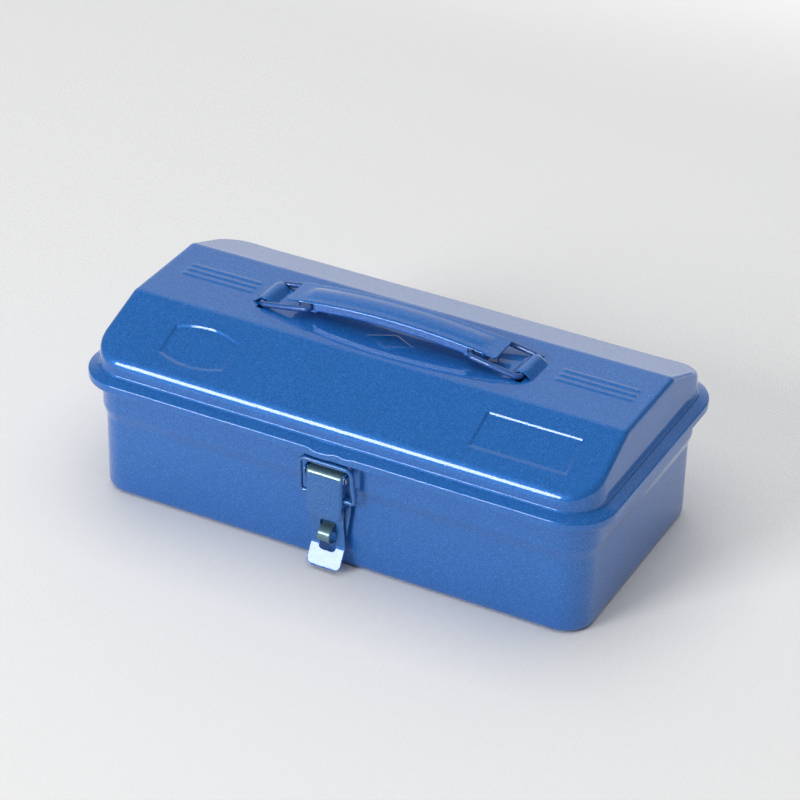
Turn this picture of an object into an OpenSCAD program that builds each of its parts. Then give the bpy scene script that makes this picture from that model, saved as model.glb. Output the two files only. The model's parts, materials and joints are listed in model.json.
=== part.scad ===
/* [Tub] */
// Length of the tub across its foot
tub_length = 267; // [256:1:280]
// Depth of the tub across its foot
tub_depth = 133.2; // [132:0.2:135]
// Plan corner radius of the tub's outer wall
corner_r = 15.3; // [14:0.1:17]
// Sheet thickness of the tub and the lid
sheet = 0.8; // [0.6:0.1:0.8]
// Height at which the wall steps out to its upper band
shoulder_z = 48.3; // [46:0.1:49]
// Step of the upper band beyond the lower wall
shoulder_step = 1.7; // [1.5:0.1:1.8]
// Height of the tub's rolled rim
rim_z = 68; // [67:0.1:68]

/* [Lid] */
// Height of the flat top of the lid
lid_top_z = 95.3; // [94:0.1:96]
// Half depth of the flat top, between the two sloping panels
flat_half_depth = 27; // [25:0.5:29]
// Pitch of the sloping panels, in degrees
slope_pitch = 21.7; // [21:0.1:22.5]
// Bend radius along the eaves
eave_r = 6; // [5:0.5:7]
// Bend radius between the flat top and the slopes
ridge_r = 5; // [4:0.5:6]
// Height of the lower edge of the lid's skirt
skirt_z = 64; // [63.8:0.1:64.4]

/* [Handle] */
// Full length of the grip
grip_length = 114; // [108:1:120]
// Full width of the grip
grip_width = 19; // [18.6:0.1:19.2]
// Radius of the grip's arch
grip_arch_r = 360; // [340:10:400]
// Diameter of the handle wire
handle_wire_d = 3; // [2.6:0.1:3]
// Distance of each wire's hinge line from the middle of the lid
handle_pivot_x = 70.5; // [70:0.1:71]
// Half distance between the two arms of one wire
handle_arm_y = 11.5; // [11.5:0.1:12]
// Height by which the handle can be lifted off its rest
handle_lift = 10; // [4:1:10]

/* [Latch] */
// Width of the latch lever
lever_width = 19.8; // [17.4:0.1:20]
// Diameter of the latch wire
latch_wire_d = 2.2; // [1.8:0.1:2.2]
// Bore of the padlock eye
padlock_bore_d = 4.4; // [3.6:0.1:4.4]

/* [Hinges] */
// Distance of each hinge from the middle of the box
hinge_x = 82; // [60:1:100]
// Width of a hinge
hinge_width = 32; // [24:1:40]
// Diameter of the hinge pins
hinge_pin_d = 2.4; // [1.8:0.1:2.4]

/* [Hidden] */

$fn = 48;
far = 200;
slack = 0.05;                                // radial gap of a pin in its knuckle
touch = 0.05;                                // gap left between sheets that are welded

blue = [0.18, 0.42, 0.73];
light_blue = [0.26, 0.47, 0.75];
zinc = [0.62, 0.65, 0.68];

// Tub, with offsets measured outwards from the foot of its wall
half_length = tub_length / 2;
half_depth = tub_depth / 2;
straight_x = half_length - corner_r;         // centres of the plan corners
straight_y = half_depth - corner_r;
foot_r = 4.5;                                // bend between floor and wall
shoulder_h = 6;
rim_bend_r = 2;
bead_r = 1.3;
bead_o = 5.3;
band_y = half_depth + shoulder_step;

// Lid
skirt_o = 8.4;
skirt_c = [skirt_o - 1, 67.1];               // centre of the skirt's top bend
ledge = [3.9, 69.9];
wall_foot = [2.9, 70.9];
wall_o = 2.4;
wall_z = 72.6;
slope_c = flat_half_depth * sin(slope_pitch) + lid_top_z * cos(slope_pitch);
eave_c_y = half_depth + wall_o - eave_r;
eave_c_z = (slope_c - eave_r - eave_c_y * sin(slope_pitch)) / cos(slope_pitch);
ridge_c_z = lid_top_z - ridge_r;
ridge_c_y = (slope_c - ridge_r - ridge_c_z * cos(slope_pitch)) / sin(slope_pitch);
ridge_c_x = half_length + 1 - ridge_r;
rib_h = 0.5;                                 // plain raised ribs on the flat top
rib_root = 0.4;
rib_size = [40, 2.2];
rib_pitch = 4.6;
rib_count = 3;
left_ribs_x = -101;
right_ribs_x = 105;
ribs_y = 3;
panel_depth = 1;                             // sunk panels in the front slope
plate_at = [92, 21.8];                       // (x, distance below the ridge)
plate_size = [49.4, 20.6];
barrel_at = [-84, 22.9];
barrel_width = 35;
barrel_half_h = 12.2;
barrel_arc_r = 40;

// Handle
wire_r = handle_wire_d / 2;
wire_z = lid_top_z + 1.3;                    // hinge line of the handle wires
wire_bend_r = 2.4;
arm_len = 27;
arm_rise = 4.3;
arm_tilt = asin(arm_rise / arm_len);
arm_tilt_up = asin((arm_rise + handle_lift) / arm_len);
wire_tip_y = 7.4;
wire_gap = 0.3;                              // play of a wire in its window
bridge_half = 9;
bridge_gap = 0.4;
grip_t = 0.9;
grip_top_z = lid_top_z + 11.5;
flange_h = 4.2;
ridge_half = 4.7;
ridge_inset = 7;
hook_z = wire_z + arm_rise;
hook_x_rest = handle_pivot_x - arm_len * cos(arm_tilt);
hook_x_up = handle_pivot_x - arm_len * cos(arm_tilt_up);

// Latch; y is negative towards the front
plate_t = 0.9;
plate_half = 12;
plate_low = 20;
plate_high = 63;
plate_back_y = -(band_y + touch);
plate_y = plate_back_y - plate_t;            // front face of the base plate
ear_t = 0.9;
lever_t = 0.9;
lever_half = lever_width / 2;
lever_y = -(half_depth + skirt_o);           // front face of the lever
lever_low = 30;
roll_r = 3;
latch_pin_r = 1.3;
latch_pin = [lever_y + roll_r, 54];          // (y, z) of the lever's hinge line
latch_r = latch_wire_d / 2;
latch_arm_x = 14.4;
latch_pivot = [latch_pin[0] + 0.2, latch_pin[1] - 12.5];
latch_bar = [lever_y + 0.4, 60.6];
latch_arm = norm(latch_bar - latch_pivot);
latch_lean = atan2(latch_pivot[0] - latch_bar[0], latch_bar[1] - latch_pivot[1]);
flange_back_y = plate_y - 0.45;
tab_t = 0.9;
tab_y = plate_y - 1.6;                       // front face of the tab's upright part
slot_half = 4.4;
slot_z = [10.5, 27];
eye = [-(half_depth + 6.8), 20];
eye_half = 3;
eye_r = padlock_bore_d / 2;
eye_t = 0.9;
catch_half = 11.5;

// Hinges
knuckle = [half_depth + 11.9, 66];           // (y, z) of the lid's hinge line
hinge_pin_r = hinge_pin_d / 2;
knuckle_r = hinge_pin_r + 1;
leaf_t = 1;
leaf_low = 50;
leaf_shelf_z = 61.6;
knuckles = 5;
knuckle_len = hinge_width / knuckles;
knuckle_gap = 0.2;

// Points of an arc, for outlines
function arc(c, r, a0, a1, n = 6) =
    [for (i = [0:n]) c + r * [cos(a0 + (a1 - a0) * i / n), sin(a0 + (a1 - a0) * i / n)]];

// Sweeps a profile of (outward offset, height) round the box's plan
module around() {
    for (k = [0:3]) {
        dist = k % 2 == 0 ? straight_x : straight_y;
        side = k % 2 == 0 ? straight_y : straight_x;
        rotate(90 * k) translate([dist, 0, 0]) {
            rotate([90, 0, 0]) linear_extrude(2 * side, center = true)
                translate([corner_r, 0]) children();
            translate([0, side, 0]) rotate_extrude(angle = 90)
                translate([corner_r, 0]) children();
        }
    }
}

// Plate of the box's plan shape, grown by an offset
module plan_plate(grow, h) {
    r = corner_r + grow;
    linear_extrude(h) {
        square([2 * straight_x, 2 * (straight_y + r)], center = true);
        square([2 * (straight_x + r), 2 * straight_y], center = true);
        for (sx = [-1, 1], sy = [-1, 1])
            translate([sx * straight_x, sy * straight_y]) circle(r);
    }
}

// Extrudes a (y, z) profile along X, centred on X = 0
module along_x(width) {
    rotate([90, 0, 90]) linear_extrude(width, center = true) children();
}

// Extrudes an (x, z) outline along Y, through the whole box
module along_y() {
    rotate([90, 0, 0]) linear_extrude(2 * far, center = true) children();
}

module both_sides() {
    children();
    mirror([1, 0, 0]) children();
}

module bar_x(at, r, x0, x1) {
    translate([x0, at[0], at[1]]) rotate([0, 90, 0]) cylinder(h = x1 - x0, r = r);
}

// ---- tub ----

module tub_profile() {
    step = shoulder_step;
    bend_c = [step + rim_bend_r, rim_z - sheet - rim_bend_r];
    polygon(concat(
        arc([-foot_r, foot_r], foot_r, -90, 0),
        [[0, shoulder_z - shoulder_h], [step, shoulder_z]],
        arc(bend_c, rim_bend_r, 180, 90, 4),
        [[bead_o, rim_z - sheet], [bead_o, rim_z]],
        arc(bend_c, rim_bend_r + sheet, 90, 180, 4),
        [[step - sheet, shoulder_z + 0.1], [-sheet, shoulder_z - shoulder_h + 0.1]],
        arc([-foot_r, foot_r], foot_r - sheet, 0, -90)
    ));
    translate([bead_o, rim_z - bead_r]) circle(bead_r);
}

module tub() {
    color(blue) {
        around() tub_profile();
        plan_plate(-foot_r, sheet);
    }
}

// ---- lid ----

// Skirt, ledge and foot of the lid's wall
module lid_rim_profile() {
    t = sheet;
    polygon(concat(
        [[skirt_o - t, skirt_z], [skirt_o, skirt_z]],
        arc(skirt_c, 1, 0, 60, 3),
        [ledge, wall_foot, [wall_o, wall_z]],
        [[wall_o - t, wall_z], wall_foot - [t, 0.3], ledge - [0.3, t]],
        arc(skirt_c, 1 - t, 60, 0, 3)
    ));
}

// Closed dome of the lid, shrunk all round, standing on a given height
module lid_dome(shrink, from_z) {
    hull() for (sx = [-1, 1], sy = [-1, 1]) {
        translate([sx * straight_x, sy * straight_y, eave_c_z])
            rotate_extrude($fn = 32) translate([corner_r + wall_o - eave_r, 0]) intersection() {
                circle(eave_r - shrink, $fn = 32);
                translate([-eave_r, 0]) square(2 * eave_r);
            }
        translate([sx * straight_x, sy * straight_y, from_z])
            cylinder(h = 1, r = corner_r + wall_o - shrink, $fn = 32);
        translate([sx * ridge_c_x, sy * ridge_c_y, ridge_c_z])
            sphere(ridge_r - shrink, $fn = 32);
    }
}

// Raised bridge in the lid that holds down the crossbar of a handle wire
module bridge() {
    crown_r = wire_r + bridge_gap + sheet;
    low = lid_top_z - sheet / 2 - wire_z;
    translate([0, 0, wire_z]) rotate([90, 0, 0])
        linear_extrude(2 * bridge_half, center = true) {
            circle(crown_r);
            polygon([[-crown_r - 4.5, low], [-crown_r - 2, low + 0.7],
                     crown_r * [-cos(40), sin(40)], crown_r * [cos(40), sin(40)],
                     [crown_r + 2, low + 0.7], [crown_r + 4.5, low]]);
        }
}

module bridge_cut() {
    r = wire_r + bridge_gap;
    depth = 3;
    translate([0, 0, wire_z]) {
        rotate([90, 0, 0]) cylinder(h = 2 * bridge_half + 2, r = r, center = true);
        translate([-r, -handle_arm_y - r, -depth]) cube([2 * r, 2 * (handle_arm_y + r), depth]);
    }
}

// Places a flat shape at (x, distance below the ridge), sunk below the front slope
module under_slope(at, depth, h) {
    translate([at[0], -flat_half_depth, lid_top_z]) rotate([slope_pitch, 0, 0])
        translate([0, -at[1], -depth]) linear_extrude(h) children();
}

// Parallel raised ribs on the flat top
module top_ribs(x) {
    for (i = [0:rib_count - 1])
        translate([x, ribs_y + (i - (rib_count - 1) / 2) * rib_pitch, lid_top_z - rib_root])
            linear_extrude(rib_root + rib_h) square(rib_size, center = true);
}

// Outlines of the two sunk panels, grown by an amount
module barrel_outline(grow) {
    intersection() {
        square([barrel_width + 2 * grow, 4 * barrel_half_h], center = true);
        translate([0, barrel_half_h - barrel_arc_r]) circle(barrel_arc_r + grow, $fn = 120);
        translate([0, barrel_arc_r - barrel_half_h]) circle(barrel_arc_r + grow, $fn = 120);
    }
}

module plate_outline(grow) {
    square([plate_size[0] + 2 * grow, plate_size[1] + 2 * grow], center = true);
}

module lid() {
    pan_back = panel_depth + sheet;
    pan_h = panel_depth + sheet / 2;
    color(blue) {
        difference() {
            union() {
                around() lid_rim_profile();
                difference() {
                    lid_dome(0, wall_z - 0.8);
                    lid_dome(sheet, wall_z - 1.8);
                }
                both_sides() translate([handle_pivot_x, 0, 0]) bridge();
                under_slope(plate_at, pan_back, pan_h) plate_outline(sheet);
                under_slope(barrel_at, pan_back, pan_h) barrel_outline(sheet);
            }
            both_sides() translate([handle_pivot_x, 0, 0]) bridge_cut();
            under_slope(plate_at, panel_depth, 2 * panel_depth) plate_outline(0);
            under_slope(barrel_at, panel_depth, 2 * panel_depth) barrel_outline(0);
        }
        top_ribs(left_ribs_x);
        top_ribs(right_ribs_x);
    }
}

// Hook plate inside the lid's skirt, behind the latch wire
module lid_catch() {
    t = 0.65;
    back = skirt_o - sheet;
    front_y = latch_bar[0] + latch_r + 0.35;
    top_y = -(half_depth + back - touch);
    color(light_blue) along_x(2 * catch_half) polygon([
        [top_y, 66.5], [top_y, 63.3], [front_y, 61.9], [front_y, 58.6],
        [front_y + t, 58.6], [front_y + t, 62.1], [top_y + t, 63.5], [top_y + t, 66.5]
    ]);
}

// ---- hinges ----

// Knuckles of a hinge whose index is even or odd, with an optional web under each
module knuckle_row(parity, web) {
    for (i = [parity:2:knuckles - 1])
        translate([(i - (knuckles - 1) / 2) * knuckle_len, 0, 0])
            along_x(knuckle_len - knuckle_gap) difference() {
                union() {
                    translate(knuckle) circle(knuckle_r);
                    if (web) translate([knuckle[0] - leaf_t / 2, leaf_shelf_z])
                        square([leaf_t, knuckle[1] - leaf_shelf_z]);
                    if (!web) translate([half_depth + skirt_o + 0.4, knuckle[1] - 0.8])
                        square([knuckle[0] - half_depth - skirt_o - 0.4, 1.6]);
                }
                translate(knuckle) circle(hinge_pin_r + slack);
            }
}

module hinge_base_leaf() {
    color(zinc) {
        along_x(hinge_width) {
            translate([band_y + touch, leaf_low]) square([leaf_t, leaf_shelf_z + leaf_t - leaf_low]);
            translate([band_y + touch, leaf_shelf_z])
                square([knuckle[0] + leaf_t / 2 - band_y - touch, leaf_t]);
        }
        knuckle_row(0, true);
    }
}

// The strip follows the lid's skirt and ledge from outside
module hinge_lid_leaf() {
    near = 1 + touch;
    thick = near + leaf_t - 0.1;
    n = [cos(64.3), sin(64.3)];
    top_point = ledge + [0.3, -0.145];
    color(zinc) {
        along_x(hinge_width) translate([half_depth, 0]) polygon(concat(
            [[skirt_c[0] + near, skirt_z + 0.3]],
            arc(skirt_c, near, 0, 64, 3),
            [top_point + touch * n, top_point + (thick - 1) * n],
            arc(skirt_c, thick, 64, 0, 3),
            [[skirt_c[0] + thick, skirt_z + 0.3]]
        ));
        knuckle_row(1, false);
    }
}

module hinge_pin() {
    reach = hinge_width / 2;
    head_r = hinge_pin_r + 0.6;
    color(zinc) both_sides() {
        bar_x(knuckle, hinge_pin_r, 0, reach + 0.8);
        bar_x(knuckle, head_r, reach + 0.1, reach + 0.8);
    }
}

// ---- handle ----

// Disc whose top is the crown of the grip's arch, lowered by an amount
module arch_disc(drop) {
    translate([0, 0, grip_top_z - grip_arch_r]) rotate([90, 0, 0])
        cylinder(h = far, r = grip_arch_r - drop, center = true, $fn = 360);
}

module arch_band(drop, thick, half_x, y0, y1) {
    intersection() {
        difference() {
            arch_disc(drop);
            arch_disc(drop + thick);
        }
        translate([-half_x, y0, 0]) cube([2 * half_x, y1 - y0, far]);
    }
}

// Flange end with the window that a wire's tip slides in
module grip_window(y0) {
    x0 = hook_x_rest - wire_r - wire_gap;
    x1 = hook_x_up + wire_r + wire_gap;
    z0 = hook_z - wire_r - wire_gap;
    z1 = hook_z + wire_r + wire_gap;
    edge = 1.4;
    lip = 0.8;
    difference() {
        intersection() {
            arch_disc(grip_t / 2);
            translate([x0 - edge, y0, z0 - lip])
                cube([x1 - x0 + 2 * edge, grip_t, far]);
        }
        translate([x0, y0 - 1, z0]) cube([x1 - x0, grip_t + 2, z1 - z0]);
    }
}

module handle_grip() {
    half_w = grip_width / 2;
    window_x = hook_x_rest - wire_r - wire_gap - 0.7;
    color(blue) {
        arch_band(0, grip_t, grip_length / 2, -half_w, half_w);
        arch_band(-0.8, 1, grip_length / 2 - ridge_inset, -ridge_half, ridge_half);
        for (y = [-half_w, half_w - grip_t]) {
            arch_band(grip_t / 2, flange_h, window_x, y, y + grip_t);
            both_sides() grip_window(y);
        }
    }
}

// Wire bent into a U with inturned tips: crossbar on Y, arms along X
module wire_loop(half_span, arm, bend, r, tip) {
    inner = half_span - bend;
    rotate([90, 0, 0]) cylinder(h = 2 * inner, r = r, center = true);
    for (side = [0, 1]) mirror([0, side, 0]) {
        translate([bend, inner, 0]) rotate(90) rotate_extrude(angle = 90)
            translate([bend, 0]) circle(r);
        translate([bend, half_span, 0]) rotate([0, 90, 0]) cylinder(h = arm - 2 * bend, r = r);
        translate([arm - bend, inner, 0]) rotate_extrude(angle = 90)
            translate([bend, 0]) circle(r);
        translate([arm, tip, 0]) rotate([-90, 0, 0]) cylinder(h = inner - tip, r = r);
    }
}

module handle_wire() {
    color(blue) translate([-handle_pivot_x, 0, wire_z]) rotate([0, -arm_tilt, 0])
        wire_loop(handle_arm_y, arm_len, wire_bend_r, wire_r, wire_tip_y);
}

// ---- latch ----

module latch_base_plate() {
    window_half = lever_half + 0.25;
    color(light_blue) {
        difference() {
            along_x(2 * plate_half) translate([plate_y, plate_low])
                square([plate_t, plate_high - plate_low]);
            along_y() translate([-window_half, 49.5]) square([2 * window_half, 10]);
            along_y() both_sides()
                polygon([[plate_half - 2, plate_low - 1], [plate_half - 2, plate_low],
                         [plate_half, plate_low + 14], [far, plate_low + 14], [far, plate_low - 1]]);
        }
        both_sides() translate([window_half + ear_t / 2, 0, 0]) along_x(ear_t) difference() {
            union() {
                translate(latch_pin) circle(2 * latch_pin_r);
                translate([latch_pin[0], latch_pin[1] - 4]) square([plate_y - latch_pin[0] + 0.1, 8]);
            }
            translate(latch_pin) circle(latch_pin_r + slack);
        }
    }
}

module latch_pin() {
    ear_face = lever_half + 0.25 + ear_t;
    color(zinc) both_sides() {
        bar_x(latch_pin, latch_pin_r, 0, ear_face + 0.9);
        bar_x(latch_pin, latch_pin_r + 0.5, ear_face + 0.1, ear_face + 0.9);
    }
}

// Face, rolled top and side flanges of the lever
module latch_lever() {
    corner = 4;
    color(light_blue) {
        intersection() {
            translate([-lever_half, lever_y, lever_low])
                cube([2 * lever_half, lever_t, latch_pin[1] - lever_low]);
            along_y() {
                translate([-lever_half, lever_low + corner]) square([2 * lever_half, 40]);
                translate([-lever_half + corner, lever_low]) square([2 * (lever_half - corner), 40]);
                for (sx = [-1, 1]) translate([sx * (lever_half - corner), lever_low + corner])
                    circle(corner);
            }
        }
        along_x(2 * lever_half) translate(latch_pin) intersection() {
            difference() {
                circle(roll_r);
                circle(roll_r - lever_t);
            }
            polygon([[0, 0], [-far, 0], [-far, far], [far, far], [far, 0.4 * far]]);
        }
        both_sides() translate([lever_half - lever_t / 2, 0, 0]) along_x(lever_t) difference() {
            union() {
                translate(latch_pin) circle(roll_r);
                polygon([[lever_y + 0.2, lever_low + 4], [lever_y + 0.2, latch_pin[1]],
                         [flange_back_y, latch_pin[1]], [flange_back_y, lever_low + 8],
                         [flange_back_y - 1.5, lever_low + 4]]);
            }
            translate(latch_pin) circle(latch_pin_r + slack);
            translate(latch_pivot) circle(latch_r + 0.12);
        }
    }
}

// Slotted finger tab under the lever, flared at its foot
module latch_tab() {
    top_z = 38;
    bend_z = 13.5;
    foot = [lever_y - 1.8, 3.1];
    half_w = 9.2;
    neck = lever_half - lever_t;
    corner = 3;
    color(light_blue) difference() {
        intersection() {
            along_x(2 * half_w) polygon([
                [tab_y, top_z], [tab_y, bend_z], foot,
                foot + [tab_t, 0.3], [tab_y + tab_t, bend_z + 0.2], [tab_y + tab_t, top_z]
            ]);
            along_y() {
                translate([-neck, 20]) square([2 * neck, 20]);
                polygon([[-neck, 26], [-half_w, 15], [-half_w, foot[1] + corner],
                         [half_w, foot[1] + corner], [half_w, 15], [neck, 26]]);
                translate([corner - half_w, 1]) square([2 * (half_w - corner), 8]);
                for (sx = [-1, 1]) translate([sx * (half_w - corner), foot[1] + corner])
                    circle(corner);
            }
        }
        along_y() translate([-slot_half, slot_z[0]]) square([2 * slot_half, slot_z[1] - slot_z[0]]);
    }
}

module latch_wire() {
    color(light_blue) translate([0, latch_bar[0], latch_bar[1]])
        rotate([latch_lean, 0, 0]) rotate([0, 0, 90]) rotate([0, 90, 0])
            wire_loop(latch_arm_x, latch_arm, 1.6, latch_r, lever_half - 1.7);
}

// Strap bent into an eye that a padlock's shackle passes through
module padlock_eye() {
    outer = eye_r + eye_t;
    color(light_blue) along_x(2 * eye_half) difference() {
        union() {
            translate(eye) circle(outer);
            translate([eye[0], eye[1] - outer]) square([plate_y - touch - eye[0], 2 * outer]);
        }
        translate(eye) circle(eye_r);
    }
}

tub();
lid();
lid_catch();
translate([-hinge_x, 0, 0]) hinge_base_leaf();  // hinge_base_leaf_left
translate([hinge_x, 0, 0]) hinge_base_leaf();  // hinge_base_leaf_right
translate([-hinge_x, 0, 0]) hinge_lid_leaf();  // hinge_lid_leaf_left
translate([hinge_x, 0, 0]) hinge_lid_leaf();  // hinge_lid_leaf_right
translate([-hinge_x, 0, 0]) hinge_pin();  // hinge_pin_left
translate([hinge_x, 0, 0]) hinge_pin();  // hinge_pin_right
handle_grip();
handle_wire();  // handle_wire_left
mirror([1, 0, 0]) handle_wire();  // handle_wire_right
latch_base_plate();
latch_pin();
latch_lever();
latch_tab();
latch_wire();
padlock_eye();
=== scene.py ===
"""Looks of the metal tool box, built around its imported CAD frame. Lengths are in millimetres
until a mesh is made, and metres from there on."""

import json
import math

import bmesh
import bpy
import numpy as np
from mathutils import Matrix, Vector


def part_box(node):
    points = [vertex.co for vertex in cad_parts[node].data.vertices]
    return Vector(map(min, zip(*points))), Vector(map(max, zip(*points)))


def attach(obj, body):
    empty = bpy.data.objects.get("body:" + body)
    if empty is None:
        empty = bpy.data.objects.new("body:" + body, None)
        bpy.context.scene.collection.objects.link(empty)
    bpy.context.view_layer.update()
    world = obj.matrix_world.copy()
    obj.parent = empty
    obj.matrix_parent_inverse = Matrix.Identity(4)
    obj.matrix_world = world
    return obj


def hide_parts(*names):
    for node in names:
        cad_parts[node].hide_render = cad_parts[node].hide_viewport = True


MM = 0.001

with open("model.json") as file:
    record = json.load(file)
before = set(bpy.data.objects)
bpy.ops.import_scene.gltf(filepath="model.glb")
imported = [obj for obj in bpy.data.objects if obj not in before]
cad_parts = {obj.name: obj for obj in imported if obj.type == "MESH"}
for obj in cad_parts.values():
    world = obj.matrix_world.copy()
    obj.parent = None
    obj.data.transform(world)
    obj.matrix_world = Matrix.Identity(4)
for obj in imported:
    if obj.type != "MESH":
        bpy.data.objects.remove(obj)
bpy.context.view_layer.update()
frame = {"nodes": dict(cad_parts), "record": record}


def box_mm(node):
    low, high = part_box(node)
    return np.array(low) / MM, np.array(high) / MM


def joint_yz(name):
    """Where a joint's axis crosses the box's middle plane, as (y, z)."""
    joint = next(j for j in frame["record"]["behaviour"]["joints"] if j["name"] == name)
    return joint["pos_m"][1] / MM, joint["pos_m"][2] / MM


# ---------------------------------------------------------------- dimensions

TUB_HIGH = box_mm("tub")[1]
LID_LOW, LID_HIGH = box_mm("lid")
SHEET = 0.8
SKIRT_O = 8.4                         # skirt, outwards from the foot of the tub's wall
HALF_X = LID_HIGH[0] - SKIRT_O        # foot of the tub's wall
HALF_Y = LID_HIGH[1] - SKIRT_O
CORNER_R = 15.3
CORNER_X = HALF_X - CORNER_R          # centres of the plan corners
CORNER_Y = HALF_Y - CORNER_R

SKIRT_Z = LID_LOW[2]
LID_TOP_Z = 95.3
FLAT_HALF = 27.0
PITCH = math.radians(21.7)
WALL_O = 2.4
EAVE_Z = 74.5
END_DRAFT = 0.085
EAVE_R_LONG = 4.6                     # eave bend along the long sides and across the ends
EAVE_R_END = 2.8
EAVE_END_X, EAVE_END_RUN = 110.0, 16.0    # where the bend starts to tighten, and over how far
RIDGE_SOFT = 0.5

RIM_Z = TUB_HIGH[2]
SHOULDER_Z = 48.3
SHOULDER_STEP = 1.7

PLAN_REACH = 60.0                     # further than any outline is from its anchor
LID_SEARCH_Z = (60.0, 110.0)          # the lid's top lies between these heights


# ---------------------------------------------------------------- mesh helpers

def add_object(name, verts, faces, body, material, smooth=True):
    """A mesh object from millimetre points, riding on a body."""
    mesh = bpy.data.meshes.new(name)
    mesh.from_pydata([tuple(p) for p in np.asarray(verts) * MM], [], faces)
    mesh.validate()
    bm = bmesh.new()
    bm.from_mesh(mesh)
    bmesh.ops.recalc_face_normals(bm, faces=bm.faces)
    bm.to_mesh(mesh)
    bm.free()
    obj = bpy.data.objects.new(name, mesh)
    bpy.context.scene.collection.objects.link(obj)
    if smooth:
        mesh.shade_smooth()
    mesh.materials.append(material)
    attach(obj, body)
    return obj


def face_away(obj, point):
    """Turns every face so that, on the whole, the mesh faces away from a millimetre point."""
    point = Vector(point) * MM
    total = sum((p.center - point).dot(p.normal) * p.area for p in obj.data.polygons)
    if total < 0:
        obj.data.flip_normals()


def solidify(obj, thickness, offset=-1.0):
    mod = obj.modifiers.new("sheet", "SOLIDIFY")
    mod.thickness = thickness * MM
    mod.offset = offset
    mod.use_even_offset = True
    return mod


def bevel(obj, width, segments=3, angle=30):
    mod = obj.modifiers.new("edges", "BEVEL")
    mod.width = width * MM
    mod.segments = segments
    mod.limit_method = "ANGLE"
    mod.angle_limit = math.radians(angle)
    return mod


def rounded_path(points, radii, segments=6):
    """Replaces each inner corner of a polyline by an arc of the given radius."""
    pts = [np.array(p, float) for p in points]
    out = [pts[0]]
    for i in range(1, len(pts) - 1):
        r = radii[i - 1]
        if r <= 0:
            out.append(pts[i])
            continue
        a = pts[i - 1] - pts[i]
        b = pts[i + 1] - pts[i]
        la, lb = np.linalg.norm(a), np.linalg.norm(b)
        a, b = a / la, b / lb
        half = math.acos(max(-1.0, min(1.0, float(a @ b)))) / 2
        if abs(half - math.pi / 2) < 1e-4:
            out.append(pts[i])
            continue
        cut = min(r / math.tan(half), 0.49 * la, 0.49 * lb)
        r = cut * math.tan(half)
        middle = (a + b) / np.linalg.norm(a + b)
        centre = pts[i] + middle * (r / math.sin(half))
        start = pts[i] + a * cut - centre
        end = pts[i] + b * cut - centre
        turn = math.pi - 2 * half
        for k in range(segments + 1):
            t = k / segments
            w0 = math.sin((1 - t) * turn) / math.sin(turn)
            w1 = math.sin(t * turn) / math.sin(turn)
            out.append(centre + start * w0 + end * w1)
    out.append(pts[-1])
    return np.array(out)


def tube(name, path, radius, body, material, sides=20):
    """Round wire along a polyline, with domed ends."""
    path = np.asarray(path, float)
    tangents = np.gradient(path, axis=0)
    tangents /= np.linalg.norm(tangents, axis=1)[:, None]
    normal = np.cross(tangents[0], [0.3, 0.5, 0.8])
    normal /= np.linalg.norm(normal)
    verts, faces = [], []
    rings = []
    stations = [(0, -s) for s in (1.0, 0.7, 0.35)] + [(i, 0) for i in range(len(path))]
    stations += [(len(path) - 1, s) for s in (0.35, 0.7, 1.0)]
    for i, cap in stations:
        t = tangents[i]
        normal = normal - t * (normal @ t)
        normal /= np.linalg.norm(normal)
        side = np.cross(t, normal)
        r = radius * math.sqrt(max(1e-6, 1 - cap * cap)) if cap else radius
        centre = path[i] + t * cap * radius * 0.5
        ring = []
        for k in range(sides):
            a = 2 * math.pi * k / sides
            ring.append(len(verts))
            verts.append(centre + r * (math.cos(a) * normal + math.sin(a) * side))
        rings.append(ring)
    for a, b in zip(rings, rings[1:]):
        for k in range(sides):
            n = (k + 1) % sides
            faces.append((a[k], a[n], b[n], b[k]))
    faces.append(tuple(rings[0]))
    faces.append(tuple(reversed(rings[-1])))
    return add_object(name, verts, faces, body, material)


def sheet_grid(name, us, vs, point, body, material):
    """Open sheet over a (u, v) grid."""
    verts = [point(u, v) for u in us for v in vs]
    nv = len(vs)
    faces = []
    for i in range(len(us) - 1):
        for j in range(nv - 1):
            a = i * nv + j
            faces.append((a, a + 1, a + nv + 1, a + nv))
    return add_object(name, verts, faces, body, material)


def clean_loose(obj):
    """Deletes vertices that no face uses."""
    bm = bmesh.new()
    bm.from_mesh(obj.data)
    bmesh.ops.delete(bm, geom=[v for v in bm.verts if not v.link_faces], context="VERTS")
    bm.to_mesh(obj.data)
    bm.free()


def lines(marks, step):
    """Sorted grid lines through every mark, with gaps no wider than step(middle)."""
    marks = sorted(set(round(m, 4) for m in marks))
    out = [marks[0]]
    for a, b in zip(marks, marks[1:]):
        count = max(1, math.ceil((b - a) / step((a + b) / 2) - 1e-6))
        out += [a + (b - a) * k / count for k in range(1, count + 1)]
    return np.array(out)


def rounded_box(u, v, centre, half, radius=0.0):
    """Signed distance to a rounded rectangle."""
    qu = np.abs(u - centre[0]) - half[0] + radius
    qv = np.abs(v - centre[1]) - half[1] + radius
    outside = np.hypot(np.maximum(qu, 0), np.maximum(qv, 0))
    return outside + np.minimum(np.maximum(qu, qv), 0) - radius


def snap_to_outline(points, edge, distance):
    """Moves the edge points of a flat grid onto the line where the distance is zero."""
    h = 0.02
    for _ in range(4):
        u, v = points[edge, 0], points[edge, 1]
        d = distance(u, v)
        gu = (distance(u + h, v) - distance(u - h, v)) / (2 * h)
        gv = (distance(u, v + h) - distance(u, v - h)) / (2 * h)
        size = np.maximum(gu * gu + gv * gv, 0.2)
        points[edge, 0] -= d * gu / size
        points[edge, 1] -= d * gv / size


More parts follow.
